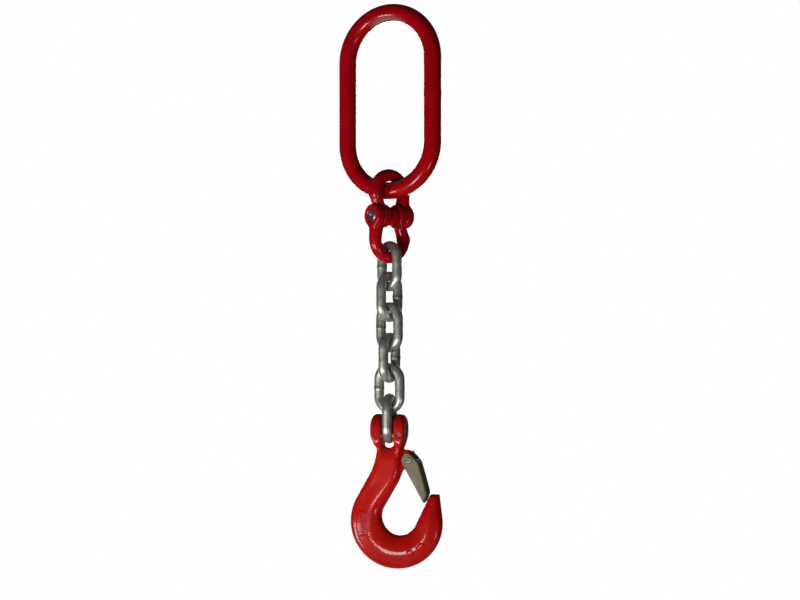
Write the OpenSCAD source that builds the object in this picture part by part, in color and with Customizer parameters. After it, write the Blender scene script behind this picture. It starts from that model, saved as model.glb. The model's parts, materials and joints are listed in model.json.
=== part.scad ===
// Single-leg chain sling: oblong master link, two-part coupling link, chain, and a clevis hook
// whose throat is closed by a sprung latch. Millimetres, +Z up, the master link in the XZ plane.
// The origin is where a crane hook bears, at the top of the inside of the master link.

/* [Master link] */
// Wire diameter of the master link
master_wire = 18; // [17:0.5:19]
// Width of the opening in the master link
master_inner_width = 78; // [70:1:90]
// Length of the opening in the master link
master_inner_length = 161; // [140:1:180]

/* [Coupling link] */
// Diameter of the two bows of the coupling link
coupling_wire = 12.5; // [11.5:0.5:12.5]
// Radius of the bows, measured to the middle of the wire
coupling_bow_radius = 18.3; // [18:0.1:20]
// Distance inside the closed coupling link, from bow to bow
coupling_inner_length = 70; // [66:1:80]
// Diameter of the lugs that the load pin goes through
lug_diameter = 23.5; // [21:0.5:24]
// Diameter of the load pin of the coupling link
coupling_pin = 12; // [10:0.5:12.5]
// Turn of the coupling link about the vertical, in degrees
coupling_turn = 67; // [62:1:90]

/* [Chain] */
// Wire diameter of the chain
chain_wire = 10; // [9.5:0.1:10]
// Pitch of the chain, which is the inside length of a link
chain_pitch = 31; // [30:0.5:33]
// Inside width of a link
chain_inner_width = 14; // [13.8:0.1:15]
// Turn of each link about the vertical, from the top, in degrees
link_turns = [-24, 74, -17, 87, -3, 105];

/* [Hook] */
// Outer radius of the bowl of the hook
bowl_outer = 47.3; // [46:0.1:48]
// Inner radius of the bowl of the hook, where a load bears
bowl_inner = 18.3; // [17:0.1:19]
// Thickness of the hook's body
hook_thick = 21; // [20:0.5:22]
// Diameter of the load pin in the clevis
clevis_pin = 12.5; // [11:0.5:12.5]
// Gap between the ears of the clevis
clevis_gap = 12.8; // [12.4:0.1:13.2]
// Radius of the ears around the load pin
ear_radius = 13.6; // [13:0.1:14]

/* [Latch] */
// Thickness of the latch's sheet metal
latch_sheet = 1.8; // [1.5:0.1:2]
// Width of the latch over its two cheeks
latch_width = 18.4; // [18:0.1:19]
// Lean of the closed latch from the vertical, in degrees
latch_lean = 16.8; // [16.5:0.1:17]
// Diameter of the pivot pin
pivot_pin = 5; // [4:0.5:5]

/* [Hidden] */
$fn = 64;

red = [0.62, 0.03, 0.05];
steel = [0.45, 0.46, 0.44];
zinc = [0.5, 0.48, 0.38];

gap = 0.3;           // what keeps two links apart where they bear
run = 0.05;          // radial clearance of a pin that something turns on
split = 0.4;         // gap between neighbouring lugs on the load pin

// Links that aren't square to each other ride up a little where they bear.
square_twist = 8;    // twist up to which they don't ride up
rise_rate = 0.0053;  // rise for each squared degree above it
function twist(a, b) = abs(abs(a - b) - 90);
function rise(a, b) = gap + rise_rate * pow(max(0, twist(a, b) - square_twist), 2);

// Heights, from the top down. A top is the inside of the upper bow, a bottom that of the lower.
coupling_top = -master_inner_length + gap;
coupling_bottom = coupling_top - coupling_inner_length;
coupling_pin_z = (coupling_top + coupling_bottom) / 2;
last_link = len(link_turns) - 1;
function turn_above(i) = i == 0 ? coupling_turn : link_turns[i - 1];
function link_top(i) = rise(link_turns[i], turn_above(i))
    + (i == 0 ? coupling_bottom : link_top(i - 1) - chain_pitch);
hook_z = link_top(last_link) - chain_pitch + gap + clevis_pin / 2;
hook_turn = link_turns[last_link] - 90;

// The coupling's lugs, as distances from its middle along the load pin
lug_inner = [6.2, 14.6];
lug_outer = [15, 24];
sleeve_half = 5.8;
sleeve_diameter = 19;
bush_outer = 7.5;
lug_room = 0.5;      // radial room around a lug for the other half
limb_wide = 17.2;    // how thick the limb to the outer lug would be at the pin
limb_at = 15.9;      // and how far its middle is from the link's middle there
bow_z = coupling_inner_length / 2 - coupling_bow_radius + coupling_wire / 2;
knuckle = 0.6;       // how much thicker the wire is where a limb bends into the bow

// The hook's outline, in its own plane with the load pin at [0, 0]
bowl_outer_at = [7.3, -95];
bowl_inner_at = [10.5, -89.7];
neck_left = -11.8;
neck_right = 14;
neck_top = -25;
neck_bottom = -45;
back_slope = 60;     // slope of the back, in degrees
mouth_turn = 25.5;   // how far the inside of the tip leans from the vertical
tip_turn = 7;        // and its outside
tip_inner = [42.6, -65.4];
tip_outer = [50.4, -65.8];
overlap = 0.5;       // how far the tip's edges start inside the bowl's circles
throat_z = -20;      // floor of the slot between the ears
ear_out = 17.5;
lug_half = 4.5;      // half thickness of the lug that carries the latch
lug_radius = 6.2;
pivot_at = [21.6, -32.2];
slices = 5;          // steps that round the edges of the hook's body
round_radius = 10.2;

roll_pin = 4;
roll_at = [12, -7.2];
spring_wire = 1.2;
spring_radius = 4.4;
spring_turns = 2;
latch_round = 7.5;   // radius of the cheeks around the pivot
// The latch's outer edge and its end, along the latch from the pivot and across it
latch_edge = [[1.5, 8.3], [5, 9.5], [20, 9.4], [35.5, 9], [38.2, 8.3], [45.8, 2.3]];

// Half of a ring of round wire in the XZ plane, open downwards
module bow(radius, wire) {
    rotate([90, 0, 0]) rotate_extrude(angle = 180) translate([radius, 0]) circle(d = wire);
}

// An oblong link in the XZ plane, centred
module oblong(wire, inner_width, inner_length) {
    radius = (inner_width + wire) / 2;
    straight = (inner_length - inner_width) / 2;
    for (side = [0, 180]) rotate([0, side, 0]) {
        translate([0, 0, straight]) bow(radius, wire);
        translate([radius, 0, -straight]) cylinder(d = wire, h = 2 * straight);
    }
}

// A cylinder along X, from one distance to another
module along_x(from, to, d) {
    translate([from, 0, 0]) rotate([0, 90, 0]) cylinder(d = d, h = to - from);
}

// A straight round bar between two points of the XZ plane, with its diameter at each of them and a
// knuckle at the second
module bar(a, b, at_a, at_b) {
    step = b - a;
    translate([a.x, 0, a.y]) rotate([0, atan2(step.x, step.y), 0])
        cylinder(d1 = at_a, d2 = at_b, h = norm(step));
    translate([b.x, 0, b.y]) sphere(d = at_b + knuckle);
}

// A plate in the XZ plane, centred on it
module plate(thick) {
    rotate([90, 0, 0]) linear_extrude(thick, center = true) children();
}

// ---- master link ----
module master_link() {
    color(red) translate([0, 0, -master_inner_length / 2])
        oblong(master_wire, master_inner_width, master_inner_length);
}

// ---- coupling link ----
module at_coupling() {
    translate([0, 0, coupling_pin_z]) rotate(coupling_turn) children();
}

// One forged half, its bow upwards: a wide lug at +X, a narrow one on the other side
module coupling_half() {
    inner_middle = (lug_inner[0] + lug_inner[1]) / 2;
    room = lug_diameter + 2 * lug_room;
    difference() {
        union() {
            difference() {
                union() {
                    translate([0, 0, bow_z]) bow(coupling_bow_radius, coupling_wire);
                    bar([limb_at, 0], [coupling_bow_radius, bow_z], limb_wide, coupling_wire);
                    bar([-inner_middle, 0], [-coupling_bow_radius, bow_z], coupling_wire + 0.5,
                        coupling_wire);
                }
                along_x(-lug_outer[1] - 2, -lug_inner[1] - split / 2, room);
                along_x(-lug_inner[0], lug_outer[0] - split / 2, room);
            }
            along_x(lug_outer[0], lug_outer[1], lug_diameter);
            along_x(-lug_inner[1], -lug_inner[0], lug_diameter);
        }
        along_x(-30, 30, coupling_pin + 2 * run);
    }
}

module coupling_upper_half() {
    color(red) at_coupling() coupling_half();
}

module coupling_lower_half() {
    color(red) at_coupling() rotate([0, 180, 0]) coupling_half();
}

// The pin has a shallow groove in its middle, which the bush springs into
module coupling_load_pin() {
    chamfer = 1;
    r = coupling_pin / 2;
    end = lug_outer[1];
    color(steel) at_coupling() rotate([0, 90, 0]) rotate_extrude()
        polygon([[0, -end], [r - chamfer, -end], [r, chamfer - end], [r, -4], [r - 0.6, -3],
                 [r - 0.6, 3], [r, 4], [r, end - chamfer], [r - chamfer, end], [0, end]]);
}

module coupling_sleeve() {
    color(steel) at_coupling() difference() {
        along_x(-sleeve_half, sleeve_half, sleeve_diameter);
        along_x(-sleeve_half - 1, sleeve_half + 1, 2 * bush_outer + 0.2);
    }
}

module coupling_lock_bush() {
    slit = 2;
    color(steel) at_coupling() difference() {
        along_x(-sleeve_half + 0.3, sleeve_half - 0.3, 2 * bush_outer);
        along_x(-sleeve_half, sleeve_half, coupling_pin + 0.1);
        translate([-sleeve_half, -slit / 2, 0]) cube([2 * sleeve_half, slit, 2 * bush_outer]);
    }
}

// ---- chain ----
module chain_link(i) {
    color(steel) translate([0, 0, link_top(i) - chain_pitch / 2]) rotate(link_turns[i])
        oblong(chain_wire, chain_inner_width, chain_pitch);
}

module chain_link_1() { chain_link(0); }
module chain_link_2() { chain_link(1); }
module chain_link_3() { chain_link(2); }
module chain_link_4() { chain_link(3); }
module chain_link_5() { chain_link(4); }
module chain_link_6() { chain_link(5); }

// ---- hook ----
module at_hook() {
    translate([0, 0, hook_z]) rotate(hook_turn) children();
}

// Where a line at the given slope touches a circle on its left side
function touch(at, radius, slope) = at + radius * [-sin(slope), cos(slope)];

// The body's outline with its edges moved in by the inset
module hook_outline(inset) {
    across = [sin(back_slope), -cos(back_slope)] * inset;
    outer = touch(bowl_outer_at, bowl_outer, back_slope) + across;
    inner = touch(bowl_inner_at, bowl_inner, back_slope) - across;
    left = neck_left + inset;
    right = neck_right - inset;
    difference() {
        union() {
            translate(bowl_outer_at) circle(bowl_outer - inset, $fn = 128);
            polygon([outer, [left - 2.2, -37], [left, -31], [left, neck_top], [right, neck_top],
                     [right, neck_bottom], inner, bowl_inner_at]);
            polygon([tip_inner + [inset, -inset / 2], tip_outer - [inset, inset / 2],
                     bowl_outer_at
                     + (bowl_outer - inset - overlap) * [cos(tip_turn), sin(tip_turn)],
                     bowl_outer_at]);
        }
        translate(bowl_inner_at) circle(bowl_inner + inset, $fn = 96);
        // the mouth, between the back and the tip
        polygon([inner, [right, neck_bottom], [80, neck_bottom], [80, tip_inner.y - inset / 2],
                 tip_inner + [inset, -inset / 2],
                 bowl_inner_at
                 + (bowl_inner + inset - overlap) * [cos(mouth_turn), -sin(mouth_turn)],
                 bowl_inner_at]);
    }
}

// The body's thickness is built from slices that step in like a rounded edge.
module hook_bar() {
    for (i = [1:slices]) {
        start = 80 * (i - 1) / slices;
        end = 80 * i / slices;
        plate(hook_thick * sin(end) / sin(80)) hook_outline(round_radius * (1 - cos(start)));
    }
}

// Two ears on a neck, seen from the front and from the side
module clevis() {
    intersection() {
        plate(2 * ear_radius + 2)
            polygon([[-ear_out + 2, ear_radius + 1], [ear_out - 2, ear_radius + 1],
                     [ear_out, ear_radius - 3], [ear_out, -13], [neck_right, neck_top],
                     [neck_right - 3, -31], [neck_left + 1, -31], [neck_left, neck_top],
                     [-ear_out, -13], [-ear_out, ear_radius - 3]]);
        rotate([90, 0, 90]) linear_extrude(2 * ear_out + 2, center = true) {
            circle(ear_radius);
            polygon([[-ear_radius, 0], [ear_radius, 0], [ear_radius - 1.5, -12],
                     [hook_thick / 2, -24], [8, -31], [-8, -31], [-hook_thick / 2, -24],
                     [1.5 - ear_radius, -12]]);
        }
    }
}

// The lug that carries the latch
module latch_lug() {
    plate(2 * lug_half) {
        translate(pivot_at) circle(lug_radius);
        polygon([[8, -21.6], [22.5, -21.6], [26.5, -26], [27.8, -32.2], [24, -38], [8, -46]]);
    }
}

module hook_body() {
    slot = clevis_gap / 2;
    color(red) at_hook() difference() {
        union() {
            hook_bar();
            clevis();
            latch_lug();
        }
        // the slot for the last link, with a round floor
        translate([0, 0, throat_z + slot]) rotate([90, 0, 0])
            cylinder(r = slot, h = 60, center = true);
        translate([-slot, -30, throat_z + slot]) cube([2 * slot, 60, 60]);
        along_x(-30, 30, clevis_pin + 2 * run);
        translate([roll_at.x, 0, roll_at.y]) rotate([90, 0, 0])
            cylinder(d = roll_pin, h = 60, center = true);
        translate([pivot_at.x, 0, pivot_at.y]) rotate([90, 0, 0])
            cylinder(d = pivot_pin + run, h = 60, center = true);
    }
}

module clevis_load_pin() {
    color(steel) at_hook() difference() {
        along_x(-ear_out + 0.5, ear_out - 0.5, clevis_pin);
        translate([roll_at.x, 0, roll_at.y]) rotate([90, 0, 0])
            cylinder(d = roll_pin + 2 * run, h = 60, center = true);
    }
}

// A rolled pin is a tube with a slit along it.
module rolled_pin(d, bore, length) {
    rotate([90, 0, 0]) difference() {
        cylinder(d = d, h = length, center = true);
        cylinder(d = bore, h = length + 2, center = true);
        translate([0, -0.4, -length]) cube([d, 0.8, 2 * length]);
    }
}

module clevis_roll_pin() {
    color(steel) at_hook() translate([roll_at.x, 0, roll_at.y])
        rolled_pin(roll_pin - 2 * run, 2, 24);
}

// ---- latch ----
// Puts what is drawn along the latch, and across it, where the closed latch is
module at_latch() {
    at_hook() translate([pivot_at.x, 0, pivot_at.y]) rotate([0, 90 - latch_lean, 0]) children();
}

module latch_side() {
    circle(latch_round);
    polygon(concat([[0, 0], [1.6, -7.7]], [for (i = [len(latch_edge) - 1:-1:0]) latch_edge[i]]));
}

// The strip that joins the cheeks follows their outer edge.
module latch_strip() {
    count = len(latch_edge);
    polygon(concat(latch_edge,
                   [for (i = [count - 1:-1:0]) latch_edge[i] - [0.3, 1] * latch_sheet]));
}

module latch() {
    cheek = (latch_width - latch_sheet) / 2;
    color(zinc) at_latch() difference() {
        union() {
            plate(latch_width) latch_strip();
            for (side = [-cheek, cheek]) translate([0, side, 0]) plate(latch_sheet) latch_side();
        }
        rotate([90, 0, 0]) cylinder(d = pivot_pin + 2 * run, h = 60, center = true);
    }
}

module latch_pivot_pin() {
    color(steel) at_hook() translate([pivot_at.x, 0, pivot_at.y])
        rolled_pin(pivot_pin, 2.6, latch_width + 2.6);
}

// A coil on each side of the lug, as a plain tube, with a leg that presses on the latch
module latch_spring() {
    length = spring_turns * spring_wire;
    middle = lug_half + 0.1 + length / 2;
    color(steel) at_latch() for (side = [-middle, middle]) translate([0, side, 0]) {
        rotate([90, 0, 0]) difference() {
            cylinder(r = spring_radius + spring_wire / 2, h = length, center = true);
            cylinder(r = spring_radius - spring_wire / 2, h = length + 2, center = true);
        }
        translate([0, 0, spring_radius]) rotate([0, 82, 0])
            cylinder(d = spring_wire * 0.8, h = 17, $fn = 24);
    }
}

master_link();
coupling_upper_half();
coupling_lower_half();
coupling_load_pin();
coupling_sleeve();
coupling_lock_bush();
chain_link_1();
chain_link_2();
chain_link_3();
chain_link_4();
chain_link_5();
chain_link_6();
hook_body();
clevis_load_pin();
clevis_roll_pin();
latch();
latch_pivot_pin();
latch_spring();
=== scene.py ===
"""Looks for a single-leg chain sling: master link, coupling link, chain, clevis hook and latch."""
import json
import math

import bpy
import numpy as np
from mathutils import Matrix, Vector


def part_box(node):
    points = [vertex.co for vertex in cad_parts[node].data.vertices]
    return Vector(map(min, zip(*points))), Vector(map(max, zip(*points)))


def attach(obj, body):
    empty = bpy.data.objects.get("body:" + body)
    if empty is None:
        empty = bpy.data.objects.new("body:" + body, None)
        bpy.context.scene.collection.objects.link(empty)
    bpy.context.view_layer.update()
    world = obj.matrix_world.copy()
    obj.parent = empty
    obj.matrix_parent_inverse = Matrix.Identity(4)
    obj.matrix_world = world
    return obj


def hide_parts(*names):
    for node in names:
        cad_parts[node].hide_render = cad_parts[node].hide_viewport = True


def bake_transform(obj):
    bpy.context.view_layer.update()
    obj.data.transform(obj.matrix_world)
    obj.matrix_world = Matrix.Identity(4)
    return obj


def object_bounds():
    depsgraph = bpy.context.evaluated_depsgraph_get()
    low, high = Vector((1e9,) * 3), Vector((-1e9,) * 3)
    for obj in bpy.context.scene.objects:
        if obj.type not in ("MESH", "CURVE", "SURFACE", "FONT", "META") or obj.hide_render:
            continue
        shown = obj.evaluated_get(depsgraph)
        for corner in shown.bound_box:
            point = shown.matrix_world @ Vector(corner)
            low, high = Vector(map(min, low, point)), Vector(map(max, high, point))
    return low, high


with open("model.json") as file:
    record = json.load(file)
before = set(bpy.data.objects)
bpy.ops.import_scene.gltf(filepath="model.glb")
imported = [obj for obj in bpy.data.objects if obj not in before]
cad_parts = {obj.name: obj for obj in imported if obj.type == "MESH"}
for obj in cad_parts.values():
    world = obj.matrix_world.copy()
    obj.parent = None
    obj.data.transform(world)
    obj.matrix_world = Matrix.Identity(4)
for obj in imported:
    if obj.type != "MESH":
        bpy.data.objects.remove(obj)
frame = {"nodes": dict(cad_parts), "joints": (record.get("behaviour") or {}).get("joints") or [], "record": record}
cad_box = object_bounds()
joints = {j["name"]: j for j in frame["joints"]}
MM = 0.001


# ---------------------------------------------------------------- camera, light and floor
VIEW_TURN = math.radians(27)          # the camera stands this far to the right of the front
LENS = 60
SENSOR = 36
SCENE_WIDTH = 0.805                   # width of the view where the sling hangs
AIM = (0.0106, -0.2799)               # to the right of the sling's axis, and height

# name, turn from the camera's side in degrees, height above the aim, distance, size, watts
LAMPS = (("key", -58, -0.75, 1.5, 0.5, 14),
         ("front", -22, -0.7, 1.3, 0.4, 12),
         ("side", 32, -0.8, 1.5, 0.3, 3),
         ("back", 180, 0.1, 1.5, 0.8, 16))
ROOM_COLOUR = (1, 0.98, 0.96, 1)
ROOM_STRENGTH = 0.05
FLOOR_BELOW = 0.2                     # from the hook's lowest point
FLOOR_RADIUS = 0.5
FLOOR_CORNERS = 96
FLOOR_COLOUR = (0.9, 0.9, 0.89, 1)
FLOOR_GLOW = (0.8, 0.8, 0.79, 1)


def make_camera():
    """A camera level with the sling's middle, at the right distance for the view's width."""
    back = Vector((math.sin(VIEW_TURN), -math.cos(VIEW_TURN), 0))
    right = Vector((math.cos(VIEW_TURN), math.sin(VIEW_TURN), 0))
    distance = SCENE_WIDTH * LENS / SENSOR
    data = bpy.data.cameras.new("camera")
    data.lens = LENS
    data.sensor_width = SENSOR
    camera = bpy.data.objects.new("camera", data)
    camera.location = right * AIM[0] + Vector((0, 0, AIM[1])) + back * distance
    camera.rotation_euler = (-back).to_track_quat("-Z", "Y").to_euler()
    bpy.context.collection.objects.link(camera)
    bpy.context.scene.camera = camera


def area_light(name, turn, height, distance, size, power):
    """A square soft box that looks at the middle of the sling, turned from the camera's side."""
    middle = Vector((0, 0, AIM[1]))
    angle = VIEW_TURN + math.radians(turn)
    spot = middle + Vector((math.sin(angle), -math.cos(angle), 0)) * distance
    spot.z += height
    data = bpy.data.lights.new(name, "AREA")
    data.size = size
    data.energy = power
    lamp = bpy.data.objects.new(name, data)
    lamp.location = spot
    lamp.rotation_euler = (middle - spot).to_track_quat("-Z", "Y").to_euler()
    bpy.context.collection.objects.link(lamp)


def make_studio():
    """Soft lamps in a dim pale room that the camera sees as plain white."""
    for lamp in LAMPS:
        area_light(*lamp)
    world = bpy.data.worlds.new("studio")
    world.use_nodes = True
    nodes, links = world.node_tree.nodes, world.node_tree.links
    nodes.clear()
    shown = nodes.new("ShaderNodeBackground")
    shown.inputs["Color"].default_value = (1, 1, 1, 1)
    lit = nodes.new("ShaderNodeBackground")
    lit.inputs["Color"].default_value = ROOM_COLOUR
    lit.inputs["Strength"].default_value = ROOM_STRENGTH
    path = nodes.new("ShaderNodeLightPath")
    mix = nodes.new("ShaderNodeMixShader")
    out = nodes.new("ShaderNodeOutputWorld")
    links.new(path.outputs["Is Camera Ray"], mix.inputs[0])
    links.new(lit.outputs[0], mix.inputs[1])
    links.new(shown.outputs[0], mix.inputs[2])
    links.new(mix.outputs[0], out.inputs["Surface"])
    bpy.context.scene.world = world
    bpy.context.scene.view_settings.view_transform = "Standard"


def make_floor():
    """A round pale floor, below the camera's view. It glows for the camera alone, to stay pale."""
    height = cad_box[0].z - FLOOR_BELOW
    ring = [(FLOOR_RADIUS * math.cos(a), FLOOR_RADIUS * math.sin(a), height)
            for a in np.linspace(0, 2 * math.pi, FLOOR_CORNERS, endpoint=False)]
    mesh = bpy.data.meshes.new("floor")
    mesh.from_pydata(ring, [], [list(range(FLOOR_CORNERS))])
    floor = bpy.data.objects.new("floor", mesh)
    bpy.context.collection.objects.link(floor)
    material = bpy.data.materials.new("floor")
    material.use_nodes = True
    nodes = material.node_tree.nodes
    shader = nodes["Principled BSDF"]
    shader.inputs["Base Color"].default_value = FLOOR_COLOUR
    shader.inputs["Roughness"].default_value = 0.6
    shader.inputs["Emission Color"].default_value = FLOOR_GLOW
    seen = nodes.new("ShaderNodeLightPath").outputs["Is Camera Ray"]
    material.node_tree.links.new(seen, shader.inputs["Emission Strength"])
    mesh.materials.append(material)


# ---------------------------------------------------------------- materials
# deep, bright and rubbed colour of each enamel
ENAMELS = {"master_red": ((0.29, 0.0, 0.003), (0.37, 0.001, 0.004), (0.45, 0.05, 0.03)),
           "coupling_red": ((0.29, 0.0, 0.004), (0.38, 0.002, 0.007), (0.48, 0.06, 0.05)),
           "hook_red": ((0.34, 0.0015, 0.003), (0.46, 0.008, 0.003), (0.6, 0.09, 0.045))}
BARE_STEEL = (0.42, 0.4, 0.38)
CHAIN_GREY = (0.5, 0.525, 0.47)
CHAIN_DARK = (0.24, 0.26, 0.22)
CHAIN_WELD = (0.13, 0.125, 0.115)
CHAIN_BRIGHT = (0.5, 0.5, 0.49)
ZINC_LIGHT = (0.15, 0.118, 0.068)
ZINC_DARK = (0.09, 0.085, 0.052)
ZINC_EDGE = (0.28, 0.26, 0.2)
# light and dark colour and middle roughness of the plain steels
STEELS = {"pin_steel": ((0.3, 0.29, 0.27), (0.16, 0.155, 0.15), 0.34),
          "spring_steel": ((0.2, 0.2, 0.195), (0.12, 0.12, 0.115), 0.36)}


class Paint:
    """Small helper that adds nodes to one material."""

    def __init__(self, name):
        self.material = bpy.data.materials.new(name)
        self.material.use_nodes = True
        self.nodes = self.material.node_tree.nodes
        self.links = self.material.node_tree.links
        self.shader = self.nodes["Principled BSDF"]
        self.place = self.nodes.new("ShaderNodeTexCoord").outputs["Object"]

    def noise(self, scale, detail=3.0, roughness=0.5, stretch=None):
        node = self.nodes.new("ShaderNodeTexNoise")
        node.inputs["Scale"].default_value = scale
        node.inputs["Detail"].default_value = detail
        node.inputs["Roughness"].default_value = roughness
        place = self.place
        if stretch:
            mapping = self.nodes.new("ShaderNodeMapping")
            mapping.inputs["Scale"].default_value = stretch
            self.links.new(place, mapping.inputs["Vector"])
            place = mapping.outputs["Vector"]
        self.links.new(place, node.inputs["Vector"])
        return node.outputs["Fac"]

    def spread(self, value, low, high, to_low=0.0, to_high=1.0):
        """Maps low..high to to_low..to_high, and clamps."""
        node = self.nodes.new("ShaderNodeMapRange")
        for key, number in (("From Min", low), ("From Max", high),
                            ("To Min", to_low), ("To Max", to_high)):
            node.inputs[key].default_value = number
        self.links.new(value, node.inputs["Value"])
        return node.outputs["Result"]

    def math(self, kind, a, b):
        node = self.nodes.new("ShaderNodeMath")
        node.operation = kind
        for socket, value in zip(node.inputs, (a, b)):
            if isinstance(value, (int, float)):
                socket.default_value = value
            else:
                self.links.new(value, socket)
        return node.outputs[0]

    def blend(self, factor, a, b):
        """Colour a where the factor is 0, b where it is 1. A colour is a tuple or a socket."""
        node = self.nodes.new("ShaderNodeMix")
        node.data_type = "RGBA"
        self.links.new(factor, node.inputs["Factor"])
        for socket, value in ((node.inputs[6], a), (node.inputs[7], b)):
            if isinstance(value, tuple):
                socket.default_value = (*value, 1)
            else:
                self.links.new(value, socket)
        return node.outputs[2]

    def mesh_value(self, name):
        """A value that a mesh carries on its points, 0 where the mesh has none."""
        node = self.nodes.new("ShaderNodeAttribute")
        node.attribute_name = name
        return node.outputs["Fac"]

    def bump(self, layers, distance=0.0002):
        """Layers are (height, strength) and lie on each other."""
        normal = None
        for height, strength in layers:
            node = self.nodes.new("ShaderNodeBump")
            node.inputs["Strength"].default_value = strength
            node.inputs["Distance"].default_value = distance
            self.links.new(height, node.inputs["Height"])
            if normal:
                self.links.new(normal, node.inputs["Normal"])
            normal = node.outputs["Normal"]
        self.links.new(normal, self.shader.inputs["Normal"])

    def set(self, **values):
        for key, value in values.items():
            socket = self.shader.inputs[key.replace("_", " ")]
            if isinstance(value, (int, float)):
                socket.default_value = value
            elif isinstance(value, tuple):
                socket.default_value = (*value, 1)
            else:
                self.links.new(value, socket)


def enamel(name, deep, bright, rubbed):
    """Glossy enamel on forged steel, thin on edges and rubbed off where a part bears, with painted shade darkening
    its hollows.
    """
    paint = Paint(name)
    tone = paint.spread(paint.noise(38, 4, 0.6), 0.3, 0.7)
    colour = paint.blend(tone, deep, bright)
    # painted shade: where the solid is hollow the colour is darkened towards 0.3 of the deep colour, in creases
    # and recesses
    hollow = paint.math("MULTIPLY", paint.mesh_value("hollow"), 0.75)
    colour = paint.blend(hollow, colour, tuple(c * 0.3 for c in deep))
    scratch = paint.noise(900, 5, 0.7)
    thin = paint.math("MULTIPLY", paint.mesh_value("edge"), paint.spread(scratch, 0.4, 0.62))
    bare = paint.math("MULTIPLY", paint.mesh_value("bearing"), paint.spread(scratch, 0.36, 0.52))
    colour = paint.blend(paint.spread(thin, 0.25, 0.8, 0, 0.5), colour, rubbed)
    colour = paint.blend(bare, colour, BARE_STEEL)
    rough = paint.spread(paint.noise(70, 3), 0.3, 0.7, 0.24, 0.32)
    paint.set(Base_Color=colour, Roughness=rough, Metallic=bare, Coat_Weight=0.34,
              Coat_Roughness=0.11, Specular_IOR_Level=0.05)
    paint.bump([(paint.noise(60, 1, 0.5), 0.14), (paint.noise(300, 1, 0.5), 0.012)], 0.0006)
    return paint.material


def chain_steel():
    """Tumbled chain: grey steel, darker and greener in patches, bright where links rub."""
    paint = Paint("chain_steel")
    patch = paint.spread(paint.noise(120, 5, 0.65), 0.35, 0.68)
    colour = paint.blend(patch, CHAIN_GREY, CHAIN_DARK)
    colour = paint.blend(paint.mesh_value("weld"), colour, CHAIN_WELD)
    rub = paint.math("MULTIPLY", paint.mesh_value("bearing"), paint.spread(paint.noise(700, 4), 0.35, 0.6))
    colour = paint.blend(rub, colour, CHAIN_BRIGHT)
    rough = paint.spread(paint.noise(260, 4, 0.6), 0.3, 0.7, 0.26, 0.42)
    paint.set(Base_Color=colour, Roughness=rough, Metallic=0.75)
    paint.bump([(paint.noise(170, 3, 0.6), 0.5), (paint.noise(1500, 3, 0.6), 0.2)], 0.0003)
    return paint.material


def latch_zinc():
    """Pressed sheet steel with olive passivated zinc, drawn lines along its length."""
    paint = Paint("latch_zinc")
    cloud = paint.spread(paint.noise(90, 4, 0.6), 0.32, 0.7)
    colour = paint.blend(cloud, ZINC_LIGHT, ZINC_DARK)
    colour = paint.blend(paint.spread(paint.mesh_value("edge"), 0.3, 1, 0, 0.7), colour, ZINC_EDGE)
    lines = paint.noise(260, 3, 0.6, stretch=(1, 1, 0.08))
    rough = paint.spread(lines, 0.3, 0.7, 0.48, 0.62)
    paint.set(Base_Color=colour, Roughness=rough, Metallic=0.6)
    paint.bump([(lines, 0.25), (paint.noise(900, 3), 0.12)], 0.0002)
    return paint.material


def plain_steel(name, light, dark, rough):
    """Oiled steel of the pins and of the spring, a little uneven in colour."""
    paint = Paint(name)
    colour = paint.blend(paint.spread(paint.noise(300, 4, 0.6), 0.35, 0.65), light, dark)
    paint.set(Base_Color=colour, Metallic=0.9,
              Roughness=paint.spread(paint.noise(500, 3), 0.3, 0.7, rough - 0.06, rough + 0.08))
    paint.bump([(paint.noise(1200, 3, 0.6), 0.2)], 0.0002)
    return paint.material


def make_materials():
    """Every material, by the name of its slot."""
    made = {name: enamel(name, *colours) for name, colours in ENAMELS.items()}
    made["chain_steel"] = chain_steel()
    made["latch_zinc"] = latch_zinc()
    made.update({name: plain_steel(name, *looks) for name, looks in STEELS.items()})
    return made


materials = make_materials()


# ---------------------------------------------------------------- solids from distance fields
# A field is a function of x, y and z in millimetres that is negative inside the solid.
def melt(a, b, k):
    """Union with a fillet of about k."""
    h = np.clip(0.5 + 0.5 * (b - a) / k, 0, 1)
    return b + (a - b) * h - k * h * (1 - h)


def both(a, b, k):
    """Intersection with a rounding of about k."""
    return -melt(-a, -b, k)


def carve(a, b, k):
    """Field a less b, with the new edges rounded by about k."""
    return both(a, -b, k)


def drum(along, u, v, low, high, radius, edge):
    """A cylinder from low to high along one direction, with rounded edges."""
    r = np.hypot(u, v) - radius + edge
    t = np.abs(along - (low + high) / 2) - (high - low) / 2 + edge
    return np.minimum(np.maximum(r, t), 0) + np.hypot(np.maximum(r, 0), np.maximum(t, 0)) - edge


def rod(x, y, z, a, b, radius):
    """A bar with round ends between two points of the XZ plane. radius is (at a, at b)."""
    dx, dz = b[0] - a[0], b[1] - a[1]
    t = np.clip(((x - a[0]) * dx + (z - a[1]) * dz) / (dx * dx + dz * dz), 0, 1)
    away = np.sqrt((x - a[0] - t * dx) ** 2 + (z - a[1] - t * dz) ** 2 + y ** 2)
    return away - radius[0] - t * (radius[1] - radius[0])


def bow(x, y, z, centre, ring, wire):
    """The upper half of a ring of round wire in the XZ plane."""
    up = z - centre
    q = np.where(up > 0, np.hypot(x, up) - ring, np.hypot(np.abs(x) - ring, up))
    return np.hypot(q, y) - wire


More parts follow.
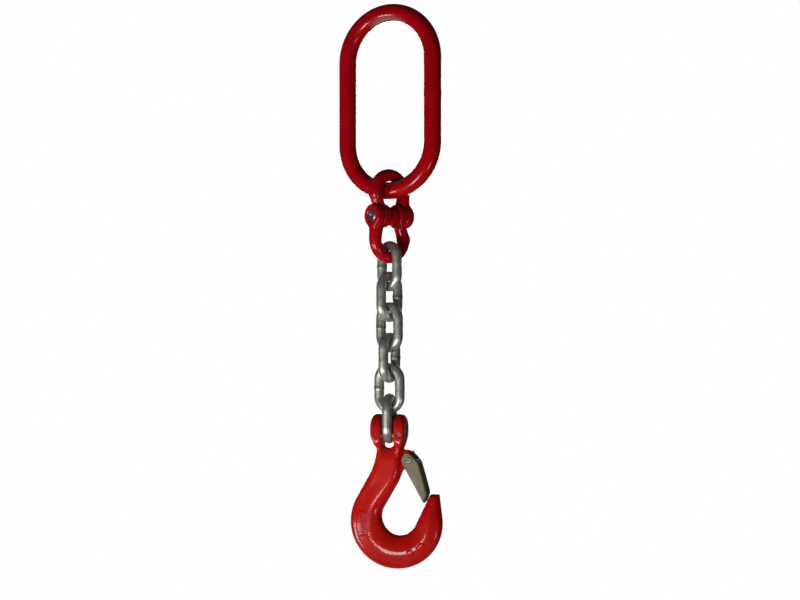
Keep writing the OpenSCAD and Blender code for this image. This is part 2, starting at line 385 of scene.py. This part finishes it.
def lattice(field, low, high, cell):
    """Points and quads of the field's zero level, one point in each cell that it crosses."""
    axes = [np.arange(a, b + cell, cell) for a, b in zip(low, high)]
    grid = np.meshgrid(*axes, indexing="ij", sparse=True)
    shape = tuple(len(a) for a in axes)
    value = np.ascontiguousarray(np.broadcast_to(field(*grid), shape))
    cells = tuple(n - 1 for n in shape)
    total = int(np.prod(cells))
    place = [np.zeros(total) for _ in range(3)]
    count = np.zeros(total)
    quads = []
    for axis in range(3):
        first = np.take(value, range(shape[axis] - 1), axis)
        second = np.take(value, range(1, shape[axis]), axis)
        spot = np.nonzero((first < 0) != (second < 0))
        before, after = first[spot], second[spot]
        share = before / (before - after)
        point = [axes[k][spot[k]] + (share * cell if k == axis else 0) for k in range(3)]
        b, c = (axis + 1) % 3, (axis + 2) % 3
        corners = []
        for db, dc in ((-1, -1), (0, -1), (0, 0), (-1, 0)):
            at = list(spot)
            at[b] = at[b] + db
            at[c] = at[c] + dc
            index = np.ravel_multi_index(at, cells)
            corners.append(index)
            count += np.bincount(index, minlength=total)
            for k in range(3):
                place[k] += np.bincount(index, point[k], minlength=total)
        quad = np.stack(corners, 1)
        quads.append(np.where((before < 0)[:, None], quad, quad[:, ::-1]))
    used = np.nonzero(count)[0]
    number = np.full(total, -1)
    number[used] = np.arange(len(used))
    points = np.stack([p[used] / count[used] for p in place], 1)
    return points, number[np.concatenate(quads)]


def slope(field, points, step=0.05):
    """The field at the points and its gradient there."""
    here = field(*points.T)
    rise = [(field(*(points + step * np.eye(3)[k]).T) - here) / step for k in range(3)]
    return here, np.stack(rise, 1)


def settle(field, points, cell):
    """Moves points onto the field's zero level."""
    for _ in range(3):
        here, rise = slope(field, points)
        move = here / np.maximum((rise ** 2).sum(1), 0.05)
        points = points - np.clip(move, -cell, cell)[:, None] * rise
    return points


def relax(points, quads):
    """Moves each point half way to the middle of its neighbours."""
    total = np.zeros_like(points)
    count = np.zeros(len(points))
    for k in range(4):
        here, there = quads[:, k], quads[:, (k + 1) % 4]
        for a, b in ((here, there), (there, here)):
            count += np.bincount(a, minlength=len(points))
            for axis in range(3):
                total[:, axis] += np.bincount(a, points[b, axis], minlength=len(points))
    return points + 0.5 * (total / count[:, None] - points)


def mesh_object(name, points, faces, values=None, sharp=None):
    """A smooth mesh object from points in millimetres, with named values on its points."""
    mesh = bpy.data.meshes.new(name)
    mesh.from_pydata((np.asarray(points) * MM).tolist(), [], [tuple(map(int, f)) for f in faces])
    mesh.polygons.foreach_set("use_smooth", [True] * len(mesh.polygons))
    if sharp:
        mesh.set_sharp_from_angle(angle=math.radians(sharp))
    for key, value in (values or {}).items():
        layer = mesh.attributes.new(key, "FLOAT", "POINT")
        layer.data.foreach_set("value", np.asarray(value, np.float32))
    piece = bpy.data.objects.new(name, mesh)
    bpy.context.collection.objects.link(piece)
    return piece


def forged(name, field, low, high, cell, deep=1.2):
    """A mesh of a field, shaded with the field's own normals.

    Its points carry how convex and how hollow the solid is there, felt at the depth deep.
    """
    points, quads = lattice(field, low, high, cell)
    for _ in range(2):
        points = settle(field, relax(points, quads), cell)
    _, rise = slope(field, points)
    steep = np.maximum(np.linalg.norm(rise, axis=1), 0.2)
    out = rise / steep[:, None]
    inside = field(*(points - out * deep).T) / steep
    outside = field(*(points + out * 2 * deep).T) / steep
    edge = np.clip((inside / deep + 1) * 2.2 - 0.2, 0, 1)
    # how hollow the solid is here; the enamel darkens with it as painted shade
    hollow = np.clip((1 - outside / (2 * deep)) * 1.4 - 0.1, 0, 1)
    piece = mesh_object(name, points, quads, {"edge": edge, "hollow": hollow})
    piece.data.normals_split_custom_set_from_vertices(out.tolist())
    return piece


# ---------------------------------------------------------------- swept round bars
def sweep(name, path, radius, around, closed=True, values=None):
    """A tube of round section along points. radius is a number or one for each point.

    values gives what the mesh carries: one number for each point of the path, or for each
    point of the tube.
    """
    path = np.asarray(path, float)
    count = len(path)
    radius = np.broadcast_to(radius, count)
    if closed:
        tangent = np.roll(path, -1, 0) - np.roll(path, 1, 0)
    else:
        tangent = np.gradient(path, axis=0)
    tangent /= np.linalg.norm(tangent, axis=1)[:, None]
    normal = np.cross(tangent[0], (0.0, 1.0, 0.01))
    sides = []
    for t in tangent:
        normal = normal - t * (normal @ t)
        normal /= np.linalg.norm(normal)
        sides.append(normal)
    sides = np.array(sides)
    other = np.cross(tangent, sides)
    angle = np.linspace(0, 2 * np.pi, around, endpoint=False)
    ring = (np.cos(angle)[None, :, None] * sides[:, None]
            + np.sin(angle)[None, :, None] * other[:, None])
    points = (path[:, None] + radius[:, None, None] * ring).reshape(-1, 3)
    rings = count if closed else count - 1
    faces = []
    for i in range(rings):
        j = (i + 1) % count
        for k in range(around):
            m = (k + 1) % around
            faces.append((i * around + k, i * around + m, j * around + m, j * around + k))
    if not closed:
        faces.append(tuple(range(around - 1, -1, -1)))
        faces.append(tuple((count - 1) * around + k for k in range(around)))
    carried = {}
    for key, value in (values(path, ring) if values else {}).items():
        carried[key] = np.repeat(value, around) if np.ndim(value) == 1 else np.ravel(value)
    return mesh_object(name, points, faces, carried)


def oblong(inner_width, inner_length, wire, step):
    """The middle line of an oblong link in the XZ plane, from the middle of its right leg up."""
    radius = (inner_width + wire) / 2
    straight = (inner_length - inner_width) / 2
    bend = max(8, round(math.pi * radius / step))
    leg = max(4, round(2 * straight / step))
    angles = np.linspace(0, np.pi, bend, endpoint=False)
    rise = np.linspace(-straight, straight, leg, endpoint=False)
    top = np.stack([radius * np.cos(angles), straight + radius * np.sin(angles)], 1)
    right = np.stack([np.full(leg, radius), rise], 1)
    half = np.concatenate([right, top])
    flat = np.concatenate([half, -half])
    return np.stack([flat[:, 0], np.zeros(len(flat)), flat[:, 1]], 1)


# ---------------------------------------------------------------- turned and rolled pieces
def lathe(name, profile, around=48, hollow=False):
    """A piece turned about X. profile is (along, radius) pairs, a closed loop if it is hollow."""
    count = len(profile)
    angle = np.linspace(0, 2 * np.pi, around, endpoint=False)
    points = np.array([(along, r * c, r * s) for along, r in profile
                       for c, s in zip(np.cos(angle), np.sin(angle))])
    faces = []
    for i in range(count if hollow else count - 1):
        j = (i + 1) % count
        for k in range(around):
            m = (k + 1) % around
            faces.append((i * around + k, i * around + m, j * around + m, j * around + k))
    if not hollow:
        faces.append(tuple(range(around - 1, -1, -1)))
        faces.append(tuple((count - 1) * around + k for k in range(around)))
    return mesh_object(name, points, faces, sharp=30)


def mirrored(left):
    """A whole profile from its left half."""
    return left + [(-along, radius) for along, radius in reversed(left)]


DIMPLE = (1.2, 1.3, 1.9)              # radii of the dimple: two at its floor, one at its rim
BEVEL = 1


def solid_pin(name, radius, end, dimple, groove=None):
    """A pin with bevelled ends and a dimple in each. groove is two half widths and a depth."""
    left = [(dimple - end, DIMPLE[0]), (dimple - end, DIMPLE[1]), (-end, DIMPLE[2]),
            (-end, radius - BEVEL), (BEVEL - end, radius)]
    if groove:
        wide, narrow, depth = groove
        left += [(-wide, radius), (-narrow, radius - depth)]
    return lathe(name, mirrored(left))


def rolled(name, radius, bore, half, slit, chamfer=0.4):
    """A tube rolled from sheet, with a slit along it, its axis along X."""
    count = 40
    gap = slit / 2 / radius
    angle = np.linspace(gap, 2 * np.pi - gap, count)
    points = []
    for along, out in ((-half, radius - chamfer), (chamfer - half, radius),
                       (half - chamfer, radius), (half, radius - chamfer)):
        for r, turn in ((out, angle), (bore, angle[::-1])):
            points += [(along, r * c, r * s) for c, s in zip(np.cos(turn), np.sin(turn))]
    ring = 2 * count
    faces = []
    for i in range(3):
        for k in range(ring):
            m = (k + 1) % ring
            faces.append((i * ring + k, i * ring + m, (i + 1) * ring + m, (i + 1) * ring + k))
    for k in range(count - 1):
        inner, near = ring - 1 - k, ring - 2 - k
        faces.append((inner, near, k + 1, k))
        faces.append((3 * ring + k + 1, 3 * ring + near, 3 * ring + inner, 3 * ring + k))
    return mesh_object(name, points, faces, sharp=35)


# ---------------------------------------------------------------- placing pieces
def upright(turn, height):
    """The place of a piece turned about the vertical and moved up, in metres."""
    return Matrix.Translation((0, 0, height)) @ Matrix.Rotation(turn, 4, "Z")


def finish_piece(piece, place, slot, body, node):
    """Puts a piece in its place on a body, with its material, instead of a CAD node."""
    piece.data.transform(place)
    piece.data.materials.append(materials[slot])
    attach(piece, body)
    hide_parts(node)


def heading(joint):
    """Turn about the vertical of a joint's axis, brought to between -90 and 90 degrees."""
    axis = joints[joint]["axis"]
    turn = math.atan2(axis[1], axis[0])
    return (turn + math.pi / 2) % math.pi - math.pi / 2


# ---------------------------------------------------------------- master link and chain links
MASTER_WIRE = 18
MASTER_INSIDE = (78, 161)
MASTER_SLACK = 0.3                    # the bar is thinner than the CAD's, so that the bead fits
MASTER_BEAD = (6, 3.5, 0.28)          # height above the link's middle, half width, rise
CHAIN_LINKS = 6
CHAIN_WIRE = 10
CHAIN_INSIDE = (14, 31)
CHAIN_SLACK = 0.04
CHAIN_BEAD = (0, 1.7, 0.3)


def facing_in(path, ring):
    """How much each point of a tube faces the middle of its link, from -1 to 1."""
    return -np.sum(ring * path[:, None] / np.linalg.norm(path, axis=1)[:, None, None], 2)


def weld_bead(path, height, half_width):
    """A bead on the right leg of a link, 1 at its middle."""
    return np.where(path[:, 0] > 0, np.exp(-((path[:, 2] - height) / half_width) ** 2), 0)


def master_link():
    path = oblong(*MASTER_INSIDE, MASTER_WIRE, 2)
    height, half_width, rise = MASTER_BEAD
    radius = MASTER_WIRE / 2 - MASTER_SLACK + rise * weld_bead(path, height, half_width)

    def values(path, ring):
        crown = np.clip((np.abs(path[:, 2]) - MASTER_INSIDE[1] / 2 - 2) / 7, 0, 1)
        bearing = np.clip(facing_in(path, ring) * 2.4 - 1.3, 0, 1) * crown[:, None]
        return {"bearing": bearing * 0.8}

    piece = sweep("master_link_forging", path, radius, 64, values=values)
    low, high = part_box("master_link")
    place = upright(0, (low.z + high.z) / 2)
    finish_piece(piece, place, "master_red", "master_link", "master_link")


def chain_link(number):
    path = oblong(*CHAIN_INSIDE, CHAIN_WIRE, 0.9)
    height, half_width, rise = CHAIN_BEAD
    weld = weld_bead(path, height, half_width)
    radius = CHAIN_WIRE / 2 - CHAIN_SLACK + rise * weld

    def values(path, ring):
        crown = np.clip((np.abs(path[:, 2]) - 14) / 5, 0, 1)
        return {"bearing": np.clip(facing_in(path, ring) * 2 - 0.9, 0, 1) * crown[:, None],
                "weld": weld * 0.8}

    node = f"chain_link_{number}"
    piece = sweep(f"{node}_wire", path, radius, 40, values=values)
    low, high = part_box(node)
    # the link's plane is square to the axis that it swings about
    turn = heading(f"link_{number}_swing") + math.pi / 2
    place = upright(turn, (low.z + high.z) / 2)
    finish_piece(piece, place, "chain_steel", f"link_{number}", node)


# ---------------------------------------------------------------- coupling link
LUG_INNER = (6.2, 14.6)               # near and far face of the inner lug, along the pin
LUG_OUTER = (15, 24)
LUG_RADIUS = 11.75
BOW_RADIUS = 18.3
BOW_WIRE = 6.25
BOW_HEIGHT = 22.95
LIMBS = ((1, 15.9, 8.3, 1), (-1, -10.4, 6.5, 3))      # side, place and radius at the pin, fillet
FAR = 40                              # beyond every face of the coupling link
COUPLING_PIN = 6
PIN_SLACK = 0.02                      # taken off a pin's radius
PIN_INSET = 0.05                      # from the outer lug's face to the pin's end
BORE_SLACK = 0.05                     # added to a bore's radius
SLEEVE = (5.8, 9.5, 7.6)              # half length, outer and inner radius
BUSH = (7.5, 6.05, 2)                 # outer and inner radius, slit


def clear_room(body, x, y, z, gap, margin, edge, rounding):
    """Cuts the room of the other half's lugs and of the sleeve out of one half."""
    for low, high in ((-FAR, -LUG_INNER[1] - gap), (-LUG_INNER[0], LUG_OUTER[0] - gap)):
        body = carve(body, drum(x, y, z, low, high, LUG_RADIUS + margin, edge), rounding)
    return body


def coupling_half_field(x, y, z):
    """One half of the coupling link, its bow upwards, with the load pin along X."""
    body = bow(x, y, z, BOW_HEIGHT, BOW_RADIUS, BOW_WIRE)
    for side, at, radius, fillet in LIMBS:
        limb = rod(x, y, z, (at, 0), (side * BOW_RADIUS, BOW_HEIGHT), (radius, BOW_WIRE))
        body = melt(body, limb, fillet)
    body = clear_room(body, x, y, z, 0.2, 0.5, 0.4, 1.2)
    wide = drum(x, y, z, LUG_OUTER[0], LUG_OUTER[1], LUG_RADIUS, 2.2)
    narrow = drum(x, y, z, -LUG_INNER[1], -LUG_INNER[0], LUG_RADIUS, 0.9)
    body = melt(body, melt(wide, narrow, 0.1), 2.6)
    # once more, for the fillets of the lugs
    body = clear_room(body, x, y, z, 0.08, 0.3, 0.3, 0.5)
    body = both(body, np.abs(x) - LUG_OUTER[1] - 0.3, 0.8)
    bore = np.hypot(y, z) - COUPLING_PIN - BORE_SLACK
    flare = np.hypot(y, z) - COUPLING_PIN - 0.9 + np.abs(np.abs(x) - LUG_OUTER[1])
    return carve(body, np.minimum(bore, flare), 0.5)


def coupling():
    pin_height = joints["coupling_hinge"]["pos_m"][2]
    place = upright(heading("coupling_hinge"), pin_height)
    flip = Matrix.Rotation(math.pi, 4, "Y")
    for name, turn, body in (("upper", Matrix.Identity(4), "coupling_upper"),
                             ("lower", flip, "coupling_lower")):
        half = forged(f"coupling_{name}_forging", coupling_half_field,
                      (-27, -14, -14), (27, 14, 50), 0.5)
        finish_piece(half, place @ turn, "coupling_red", body, f"coupling_{name}_half")
    pin = solid_pin("coupling_pin_turned", COUPLING_PIN - PIN_SLACK, LUG_OUTER[1] - PIN_INSET, 0.6,
                    groove=(4, 3, 0.6))
    finish_piece(pin, place, "pin_steel", "coupling_upper", "coupling_load_pin")
    half, out, bore = SLEEVE
    left = [(-half, bore), (-half, out - 0.8), (0.25 - half, out - 0.3), (0.8 - half, out)]
    sleeve = lathe("coupling_sleeve_turned", mirrored(left), 56, hollow=True)
    finish_piece(sleeve, place, "coupling_red", "coupling_upper", "coupling_sleeve")
    outer, inner, slit = BUSH
    bush = rolled("coupling_bush_rolled", outer, inner, half - 0.3, slit)
    quarter = Matrix.Rotation(math.pi / 2, 4, "X")
    finish_piece(bush, place @ quarter, "spring_steel", "coupling_upper", "coupling_lock_bush")


# ---------------------------------------------------------------- hook
BOWL_OUT = (7.3, -95, 46.9)           # middle and radius of the bowl's outer edge
BOWL_IN = (10.5, -89.7, 18.35)
BACK = math.radians(150)              # where the straight back leaves the bowl's circles
TIP_OUT = math.radians(7)             # and where the tip leaves them, outside and inside
TIP_IN = math.radians(-25.5)
TIP_TOP = -65.8                       # height of the tip's flat end
TIP_NEAR = 27                         # nothing stands above it farther out than this
NECK = (-11.8, 14)                    # the neck's two sides
NECK_LOW = -58
NECK_FAR = 20
SHOULDER = -18                        # upper end of the bar, between the ears
EAR_OUT = 17.5
EAR_RADIUS = 13.55
EAR_FADE = -18                        # from here down the ears run out into the neck
EAR_LOW = -40
HALF_THICK = 10.45
PARTING = (0.3, 0.9)                  # height and half width of the parting line
THROAT = -13.6                        # middle of the round floor of the slot
SLOT = 6.4
CLEVIS_PIN = 6.25
ROLL_AT = (12, -7.2)
ROLL_BORE = 2.02
PIVOT_AT = (21.6, -32.2)
PIVOT_BORE = 2.53
# raised pads: distance from the bowl's middle, half width, angle, half angle, rise
PADS = ((32.5, 7, -178, 20, 0.55), (36.5, 4, -42, 7, 0.5), (34, 3.2, -62, 5, 0.4))
LUG_HALF = 4.5
LUG = [(8, -21.7), (8, -46), (24, -38), (27.7, -32.2), (26.5, -26), (22.5, -21.7)]


def smooth(value, low, high):
    """A soft step from 0 at low to 1 at high."""
    t = np.clip((value - low) / (high - low), 0, 1)
    return t * t * (3 - 2 * t)


def convex(x, z, corners, k):
    """A convex outline in the XZ plane, its corners counterclockwise, rounded by about k."""
    field = None
    for (ax, az), (bx, bz) in zip(corners, corners[1:] + corners[:1]):
        side = ((x - ax) * (bz - az) - (z - az) * (bx - ax)) / math.hypot(bx - ax, bz - az)
        field = side if field is None else both(field, side, k)
    return field


def horseshoe(x, z, circle, left, right, widen=None):
    """A circle that is left along its tangents at two angles. widen acts on the left line."""
    dx, dz = x - circle[0], z - circle[1]
    on_left = dx * math.cos(left) + dz * math.sin(left) - circle[2]
    on_right = dx * math.cos(right) + dz * math.sin(right) - circle[2]
    above = ((dx * math.sin(left) - dz * math.cos(left) > 0)
             & (dz * math.cos(right) - dx * math.sin(right) > 0))
    if widen:
        on_left = widen(on_left)
    return np.where(above, np.maximum(on_left, on_right), np.hypot(dx, dz) - circle[2])


def rounded(edge, y, thick, along, across):
    """A plate of half thickness thick whose edge is rounded, along its face and across it."""
    u = np.maximum(edge + along, 0) / along
    v = np.maximum(np.abs(y) - thick + across, 0) / across
    far = np.hypot(u, v)
    slant = np.maximum(np.hypot(u / along, v / across), 1e-6)
    flat = np.maximum(edge, np.abs(y) - thick)
    return np.where((u > 0) & (v > 0), far * (far - 1) / slant, flat)


def raised_marks(x, z):
    """Where the forging has raised pads: a square one at the back and two small ones."""
    dx, dz = x - BOWL_OUT[0], z - BOWL_OUT[1]
    far, angle = np.hypot(dx, dz), np.degrees(np.arctan2(dz, dx))
    height = 0
    for middle, half_width, at, half_angle, rise in PADS:
        turn = (angle - at + 180) % 360 - 180
        off = np.maximum(np.abs(far - middle) - half_width,
                         (np.abs(turn) - half_angle) * math.radians(1) * middle)
        height = np.maximum(height, rise * smooth(-off, -0.5, 0.7))
    return height


def hook_bar(x, y, z):
    """The hook's body without its ears."""
    parting = PARTING[0] * np.exp(-(y / PARTING[1]) ** 2)
    outer = horseshoe(x, z, BOWL_OUT, BACK, TIP_OUT)
    neck = np.maximum(np.maximum(NECK[0] - x, NECK_LOW - z), x - NECK_FAR)
    outer = melt(outer, neck, 9) - parting
    hole = horseshoe(x, z, BOWL_IN, BACK, TIP_IN, lambda side: melt(side, NECK[1] - x, 6))
    hole = melt(hole, np.maximum(TIP_NEAR - x, TIP_TOP - z), 3)
    depth, rest = np.maximum(hole, 0), np.maximum(-outer, 0)
    share = depth / np.maximum(depth + rest, 1)
    low = smooth(-z, 48, 80)
    tip = smooth(x, 28, 46) * smooth(z, -112, -75)
    thick = HALF_THICK - 2.6 * low * smooth(share, 0.42, 1) - 1.6 * tip
    thick = np.minimum(thick + raised_marks(x, z), 10.5)
    reach = 9 + (4 + 7 * smooth(-z, 88, 112)) * low * (1 - 0.5 * tip)
    inside = rounded(-hole, y, thick, reach, thick - 0.6 + 0.4 * tip)
    outside = rounded(outer, y, thick, 6.5, 6.5)
    return both(both(inside, outside, 1.5), z - SHOULDER, 2)


def clevis(x, y, z):
    """Two domed ears that flow into the neck."""
    drop = smooth(-z, 5, 25)
    fade = np.maximum(EAR_FADE - z, 0) ** 2
    half = EAR_OUT - 1.8 * (np.maximum(z, 0) / EAR_RADIUS) ** 2 - 4.6 * drop - 0.04 * fade
    front = np.abs(x - 1.1 * drop) - half
    side = np.where(z > 0, np.hypot(y, z) - EAR_RADIUS,
                    np.abs(y) - EAR_RADIUS + 3.6 * smooth(-z, 11, 31) + 0.02 * fade)
    return both(both(front, side, 3.6), EAR_LOW - z, 3)


def hook_field(x, y, z):
    body = melt(hook_bar(x, y, z), clevis(x, y, z), 3)
    lug = rounded(convex(x, z, LUG, 2.5), y, LUG_HALF, 1.3, 1.3)
    body = melt(body, lug, 3)
    slot = np.where(z > THROAT, np.abs(x) - SLOT, np.hypot(x, z - THROAT) - SLOT)
    body = carve(body, slot, 2.6 + 10 * smooth(-z, 12, 21))
    body = carve(body, np.hypot(y, z) - CLEVIS_PIN - BORE_SLACK, 0.8)
    body = carve(body, np.hypot(x - ROLL_AT[0], z - ROLL_AT[1]) - ROLL_BORE, 0.6)
    return carve(body, np.hypot(x - PIVOT_AT[0], z - PIVOT_AT[1]) - PIVOT_BORE, 0.4)


def hook():
    place = upright(heading("hook_swing"), joints["hook_swing"]["pos_m"][2])
    body = forged("hook_forging", hook_field, (-41, -14.5, -143.5), (56, 14.5, 14.5), 0.75)
    finish_piece(body, place, "hook_red", "hook", "hook_body")
    pin = solid_pin("clevis_pin_turned", CLEVIS_PIN - PIN_SLACK, EAR_OUT - 0.5, 0.5)
    finish_piece(pin, place, "pin_steel", "hook", "clevis_load_pin")
    sideways = Matrix.Rotation(math.pi / 2, 4, "Z")
    for node, at, radius, bore, half, slot in (
            ("clevis_roll_pin", ROLL_AT, 1.95, 1, 12, "spring_steel"),
            ("latch_pivot_pin", PIVOT_AT, 2.48, 1.3, 10.5, "pin_steel")):
        piece = rolled(f"{node}_rolled", radius, bore, half, 0.8)
        spot = Matrix.Translation((at[0] * MM, 0, at[1] * MM))
        finish_piece(piece, place @ spot @ sideways, slot, "hook", node)
    return place


# ---------------------------------------------------------------- latch
LEAN = math.radians(16.8)             # of the closed latch, from the vertical
SHEET = 1.8
LATCH_HALF = 9.2
LATCH_ROUND = 7.5
LATCH_BORE = 2.55
# the web's outline: along the latch, height above the pivot, and its slopes beyond both ends
LATCH_EDGE = ((1.5, 8.3), (5, 9.5), (20, 9.4), (35.5, 9), (38.2, 8.3), (45.8, 2.3))
NEAR_SLOPE = 0.55
FAR_SLOPE = -0.79
OPEN_AT = (1.6, -7.32)                # a point of the cheeks' open edge, and that edge's normal
OPEN_OUT = (0.2137, -0.9769)
END_LOW = (-0.977, -0.214)            # normals of the edge at the pivot, below it and above
END_HIGH = (-0.984, 0.178)


def latch_field(x, y, z):
    """A channel of sheet along X, its web on the +Z side, with the pivot at the origin."""
    at, height = zip(*LATCH_EDGE)
    steps = np.linspace(-12, 50, 249)
    curve = np.interp(steps, at, height)
    curve = np.where(steps > at[-1], height[-1] + (steps - at[-1]) * FAR_SLOPE, curve)
    curve = np.where(steps < at[0], height[0] + (steps - at[0]) * NEAR_SLOPE, curve)
    window = 12
    blur = np.exp(-(np.arange(-window, window + 1) / 6.0) ** 2)
    curve = np.convolve(np.pad(curve, window, mode="edge"), blur / blur.sum(), mode="valid") - 0.08
    grade = np.interp(x, steps, np.gradient(curve, steps))
    web = (z - np.interp(x, steps, curve)) / np.sqrt(1 + grade ** 2)
    open_side = (x - OPEN_AT[0]) * OPEN_OUT[0] + (z - OPEN_AT[1]) * OPEN_OUT[1]
    end = np.where(z < 0, END_LOW[0] * x + END_LOW[1] * z, END_HIGH[0] * x + END_HIGH[1] * z)
    flat = both(np.maximum(web, end), open_side, 1.5)
    flat = melt(np.hypot(x, z) - LATCH_ROUND, flat, 1.2)
    shell = both(rounded(web, y, LATCH_HALF, 2.6, 2.6), flat, 0.5)
    shell = np.maximum(shell, np.abs(y) - LATCH_HALF)
    inner = rounded(web + SHEET, y, LATCH_HALF - SHEET, 1, 1)
    inner = np.minimum(inner, np.maximum(x - 1.5, np.abs(y) - LATCH_HALF + SHEET))
    shell = carve(shell, inner, 0.4)
    return carve(shell, np.hypot(x, z) - LATCH_BORE, 0.3)


def latch(hook_place):
    place = hook_place @ Matrix.Translation((PIVOT_AT[0] * MM, 0, PIVOT_AT[1] * MM))
    place = place @ Matrix.Rotation(math.pi / 2 - LEAN, 4, "Y")
    piece = forged("latch_pressing", latch_field, (-9.5, -10.2, -10), (46.5, 10.2, 11.6), 0.36,
                   deep=0.5)
    finish_piece(piece, place, "latch_zinc", "latch", "latch")
    return place


SPRING_WIRE = 0.5
SPRING_RING = 4.4
SPRING_SIDE = (5.15, 6.75)            # where a coil begins and ends along the pivot pin
SPRING_TURN = (math.radians(253.2), math.radians(98 - 360))
SHORT_LEG = 9                         # along the neck
LONG_LEG = 17.2                       # along the latch
COIL_STEPS = 90


def latch_spring(place):
    """Two coils on the pivot pin. Their long legs meet under the latch, the others lie on the neck."""
    enter, leave = SPRING_TURN
    turn = np.linspace(enter, leave, COIL_STEPS)
    side = np.linspace(*SPRING_SIDE, COIL_STEPS)
    coil = np.stack([SPRING_RING * np.cos(turn), side, SPRING_RING * np.sin(turn)], 1)
    rest = coil[0] - np.array([math.sin(enter), 0, -math.cos(enter)]) * SHORT_LEG
    reach = coil[-1] + np.array([math.sin(leave), 0, -math.cos(leave)]) * LONG_LEG
    leg = np.linspace(coil[-1], reach, 24)[1:]
    start = np.linspace(rest, coil[0], 14)[:-1]
    bend = [reach + np.array([0.8 * math.sin(a), -0.8 * (1 - math.cos(a)), 0.14 * math.sin(a)])
            for a in np.linspace(0.2, math.pi / 2, 6)]
    half = np.concatenate([start, coil, leg, bend])
    other = half[::-1] * (1, -1, 1)
    across = np.linspace(half[-1], other[0], 14)[1:-1]
    path = np.concatenate([half, across, other])
    piece = sweep("latch_spring_wound", path, SPRING_WIRE, 12, closed=False)
    piece.matrix_world = place
    piece.data.materials.append(materials["spring_steel"])
    bpy.context.view_layer.update()
    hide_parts("latch_spring")
    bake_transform(piece)


def main():
    make_camera()
    make_studio()
    make_floor()
    for row in frame["record"]["subparts"]:
        mesh = frame["nodes"][row["node"]].data
        mesh.materials.clear()
        mesh.materials.append(materials[row["material_slot"]])
    master_link()
    coupling()
    for number in range(CHAIN_LINKS):
        chain_link(number + 1)
    hook_place = hook()
    latch_spring(latch(hook_place))


main()
